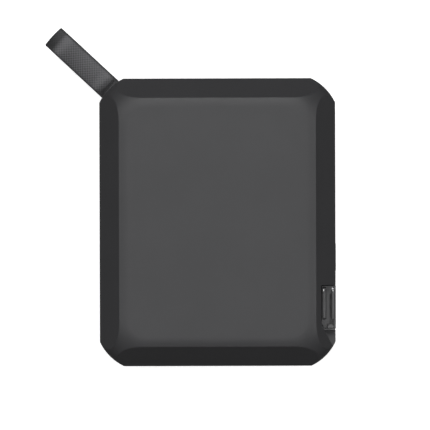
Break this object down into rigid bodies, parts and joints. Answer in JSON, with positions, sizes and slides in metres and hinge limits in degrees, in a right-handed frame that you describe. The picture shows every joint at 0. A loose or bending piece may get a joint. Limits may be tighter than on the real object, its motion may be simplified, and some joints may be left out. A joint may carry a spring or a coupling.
{
  "type": "logic analyzer",
  "caption": "Pocket logic analyzer in a bevelled rectangular case with a corner carrying strap, side button, status window, hinged port door and recessed probe socket.",
  "frame": {"origin": "centre of the underside of the grip pad that the case lies on", "axes": "+Z out of the front face, away from the bench; +Y along the length, towards the end with the strap; +X towards the side with the button and the port door"},
  "size_m": [0.1017, 0.1184, 0.0248],
  "materials": {
    "cover_plastic": "soft-touch matte dark grey moulded plastic with a very fine spark texture",
    "frame_plastic": "gloss black moulded plastic",
    "rear_plastic": "matte dark grey moulded plastic",
    "grip_rubber": "black silicone rubber with a moulded anti-slip pattern",
    "gasket_rubber": "black silicone rubber",
    "screw_steel": "zinc-plated steel",
    "insert_brass": "knurled brass",
    "strap_webbing": "flat woven polyester webbing, dark grey",
    "pin_steel": "ground steel",
    "button_plastic": "satin black moulded plastic",
    "switch_plastic": "black nylon",
    "switch_body": "tinned steel can over a black base",
    "window_plastic": "smoked translucent plastic",
    "led_resin": "clear epoxy over a white body",
    "door_plastic": "satin-gloss dark grey moulded plastic",
    "socket_steel": "nickel-plated stainless steel",
    "header_plastic": "black glass-filled nylon",
    "contact_gold": "gold-plated copper alloy",
    "board_laminate": "glass-epoxy laminate with green solder mask",
    "chip_resin": "black moulding compound",
    "thermal_silicone": "blue-grey thermal silicone",
    "sink_aluminium": "black anodised aluminium",
    "crystal_can": "nickel-plated steel can",
    "inductor_ferrite": "pressed iron powder",
    "capacitor_ceramic": "tan ceramic with tinned ends"
  },
  "bodies": {
    "case": {"front_cover": "cover_plastic", "mid_frame": "frame_plastic", "rear_shell": "rear_plastic", "grip_pad": "grip_rubber", "case_gasket": "gasket_rubber", "case_screws": "screw_steel", "brass_inserts": "insert_brass", "strap_pin": "pin_steel", "button_switch": "switch_body", "status_window": "window_plastic", "status_led_1": "led_resin", "status_led_2": "led_resin", "status_led_3": "led_resin", "door_hinge_pin": "pin_steel", "usb_socket_shell": "socket_steel", "usb_socket_tongue": "header_plastic", "probe_header_shroud": "header_plastic", "probe_header_pins": "contact_gold", "main_board": "board_laminate", "board_screws": "screw_steel", "logic_array_chip": "chip_resin", "thermal_pad": "thermal_silicone", "heatsink": "sink_aluminium", "memory_chip": "chip_resin", "usb_controller": "chip_resin", "clock_crystal": "crystal_can", "input_buffer_1": "chip_resin", "input_buffer_2": "chip_resin", "input_buffer_3": "chip_resin", "input_buffer_4": "chip_resin", "surge_arrays": "chip_resin", "power_inductor": "inductor_ferrite", "voltage_regulator": "chip_resin", "capacitors": "capacitor_ceramic"},
    "strap": {"carrying_strap": "strap_webbing"},
    "button": {"side_button": "button_plastic", "switch_plunger": "switch_plastic"},
    "door": {"port_door": "door_plastic"}
  },
  "joints": [
    {"name": "strap_swing", "type": "hinge", "parent": "case", "child": "strap", "pos_m": [-0.03556, 0.04467, 0.0093], "axis": [-0.682, -0.7314, 0], "range_deg": [-30, 30]},
    {"name": "button_press", "type": "slide", "parent": "case", "child": "button", "axis": [-1, 0, 0], "range_m": [0, 0.0003], "stiffness_N_per_m": 1200},
    {"name": "door_swing", "type": "hinge", "parent": "case", "child": "door", "pos_m": [0.0398, -0.02335, 0.0098], "axis": [0, 0, 1], "range_deg": [0, 95]}
  ]
}
